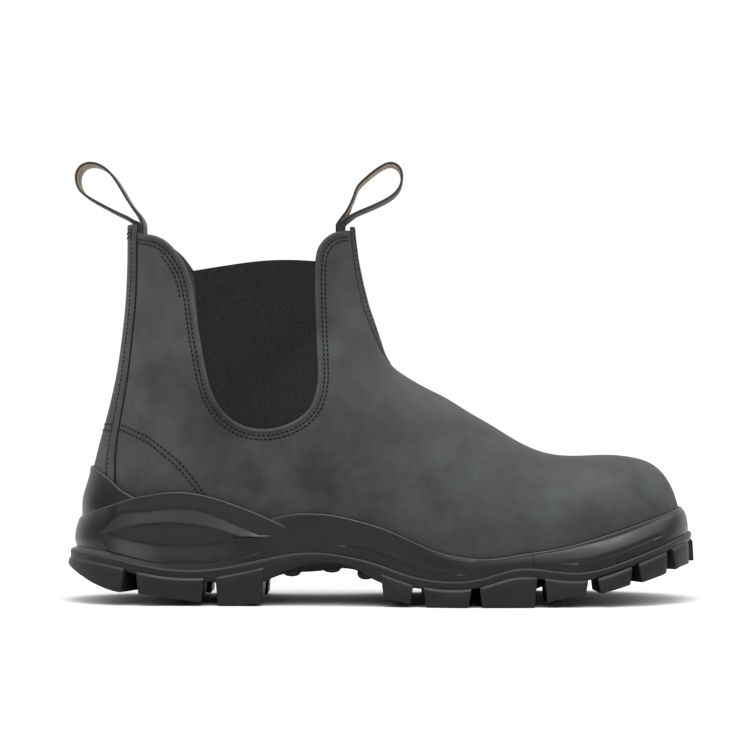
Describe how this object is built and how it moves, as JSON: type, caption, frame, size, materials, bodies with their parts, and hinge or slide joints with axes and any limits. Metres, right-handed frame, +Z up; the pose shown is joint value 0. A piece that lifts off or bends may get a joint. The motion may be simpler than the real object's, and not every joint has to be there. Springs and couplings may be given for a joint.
{
  "type": "side gore work boot",
  "caption": "Ankle-high pull-on work boot with elastic side panels, webbing pull loops and a lugged rubber sole.",
  "frame": {"origin": "middle of the bounding box, on the floor that the boot stands on", "axes": "+X towards the toe, +Y towards the inner side of the foot, +Z up"},
  "size_m": [0.3044, 0.114, 0.2117],
  "materials": {
    "upper_leather": "matt brushed nubuck",
    "strip_leather": "matt brushed nubuck",
    "gore_elastic": "ribbed elastic",
    "footbed": "cloth over foam",
    "midsole_foam": "satin moulded",
    "outsole_rubber": "matt moulded",
    "loop_webbing": "woven webbing"
  },
  "bodies": {
    "root": {"upper": "upper_leather", "back_strip": "strip_leather", "front_strip": "strip_leather", "gore_lateral": "gore_elastic", "gore_medial": "gore_elastic", "insole": "footbed", "midsole": "midsole_foam", "outsole": "outsole_rubber", "pull_loop_back": "loop_webbing", "pull_loop_front": "loop_webbing"}
  },
  "joints": []
}
